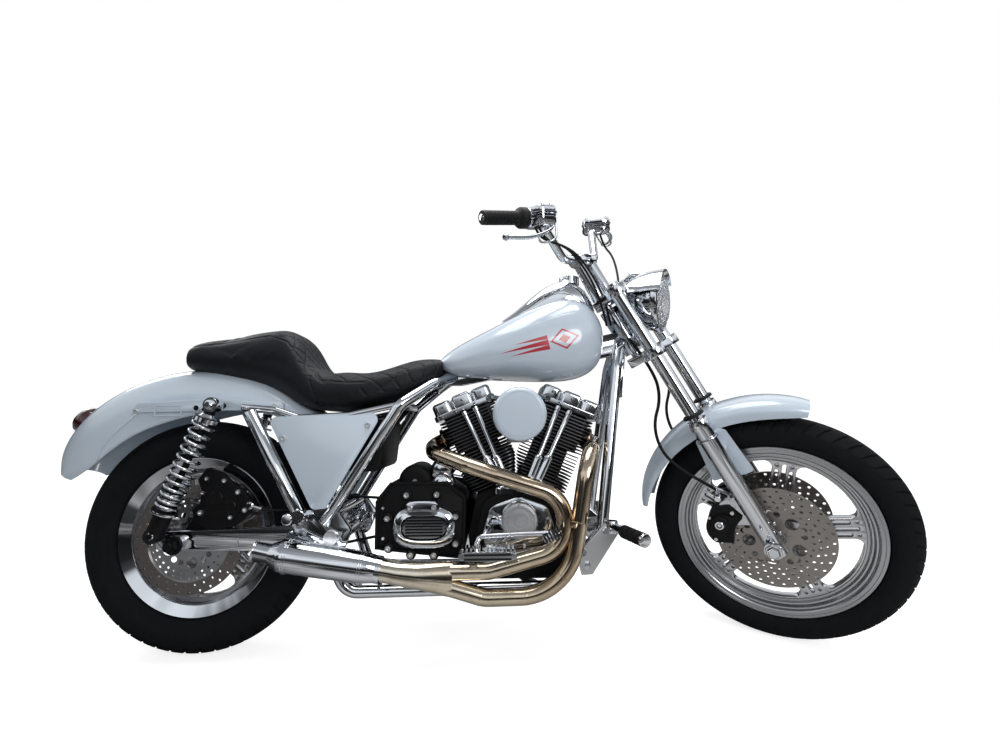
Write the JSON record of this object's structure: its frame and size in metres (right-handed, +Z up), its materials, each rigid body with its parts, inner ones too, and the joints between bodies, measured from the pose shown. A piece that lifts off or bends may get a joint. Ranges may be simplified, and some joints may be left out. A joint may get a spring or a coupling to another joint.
{
  "type": "chopper motorcycle",
  "caption": "Vee-engined chopper motorcycle with white bodywork, cast wheels and twin shocks, parked on its side stand.",
  "frame": {"origin": "on the floor under the centre of the parked machine's bounding box", "axes": "+X forwards along the machine, +Y to the rider's left, +Z up"},
  "size_m": [2.3178, 0.7832, 1.2996],
  "materials": {
    "chrome_frame": "polished chrome plate",
    "chrome": "polished chrome plate",
    "white_paint": "gloss white paint",
    "black_leather": "stitched black",
    "black_rubber": "matt rubber",
    "black_cast": "black coated castings",
    "black_engine": "black coated",
    "steel_hardware": "zinc plated",
    "cast_aluminium": "as cast",
    "tinted_pipe": "heat tinted bronze",
    "lamp_housing": "dark red lens",
    "clear_glass": "clear",
    "tyre_rubber": "matt rubber",
    "polished_rim": "polished",
    "rotor_steel": "machined"
  },
  "bodies": {
    "chassis": {"air_cleaner": "white_paint", "cam_cover": "chrome", "carburettor": "cast_aluminium", "crankcase": "black_engine", "cylinders": "black_engine", "drive_belt": "black_rubber", "exhaust_pipes": "tinted_pipe", "fender_struts": "white_paint", "foot_controls": "chrome", "frame": "chrome_frame", "fuel_tank": "white_paint", "gearbox": "black_engine", "gearbox_cover": "chrome", "muffler": "chrome", "oil_tank": "black_engine", "primary_cover": "chrome", "pushrod_tubes": "chrome", "rear_axle": "steel_hardware", "rear_caliper": "black_cast", "rear_fender": "white_paint", "rocker_boxes": "chrome", "seat": "black_leather", "shock_absorbers": "black_cast", "shock_springs": "chrome", "side_panels": "white_paint", "stand_bracket": "black_cast", "starter_motor": "black_engine", "swingarm": "chrome_frame", "swingarm_pivot": "steel_hardware", "tail_lamp": "lamp_housing", "tank_console": "chrome"},
    "steering": {"bar_controls": "chrome", "brake_hoses": "black_rubber", "fork_sliders": "chrome", "fork_tubes": "chrome", "front_axle": "steel_hardware", "front_calipers": "black_cast", "front_fender": "white_paint", "grips": "black_rubber", "handlebar": "chrome", "headlamp_lens": "clear_glass", "headlamp_shell": "chrome", "risers": "chrome", "triple_clamps": "chrome"},
    "front_wheel": {"front_rim": "polished_rim", "front_rotors": "rotor_steel", "front_tyre": "tyre_rubber"},
    "rear_wheel": {"rear_pulley": "rotor_steel", "rear_rim": "polished_rim", "rear_rotor": "rotor_steel", "rear_tyre": "tyre_rubber"},
    "side_stand": {"side_stand": "black_cast"}
  },
  "joints": [
    {"name": "steering", "type": "hinge", "parent": "chassis", "child": "steering", "pos_m": [0.45799, -0.01961, 0.893], "axis": [-0.5, 0.1578, 0.8515], "range_deg": [0, 72]},
    {"name": "front_wheel_spin", "type": "hinge", "parent": "steering", "child": "front_wheel", "pos_m": [0.86429, -0.16908, 0.3284], "axis": [0.509, 0.849, 0.1415], "continuous": true},
    {"name": "rear_wheel_spin", "type": "hinge", "parent": "chassis", "child": "rear_wheel", "pos_m": [-0.76631, -0.12644, 0.31661], "axis": [0, 0.9833, -0.1822], "continuous": true},
    {"name": "stand_swing", "type": "hinge", "parent": "chassis", "child": "side_stand", "pos_m": [0.10569, -0.00002, 0.14265], "axis": [-0.0109, 0.6863, 0.7272], "range_deg": [0, 109]}
  ]
}
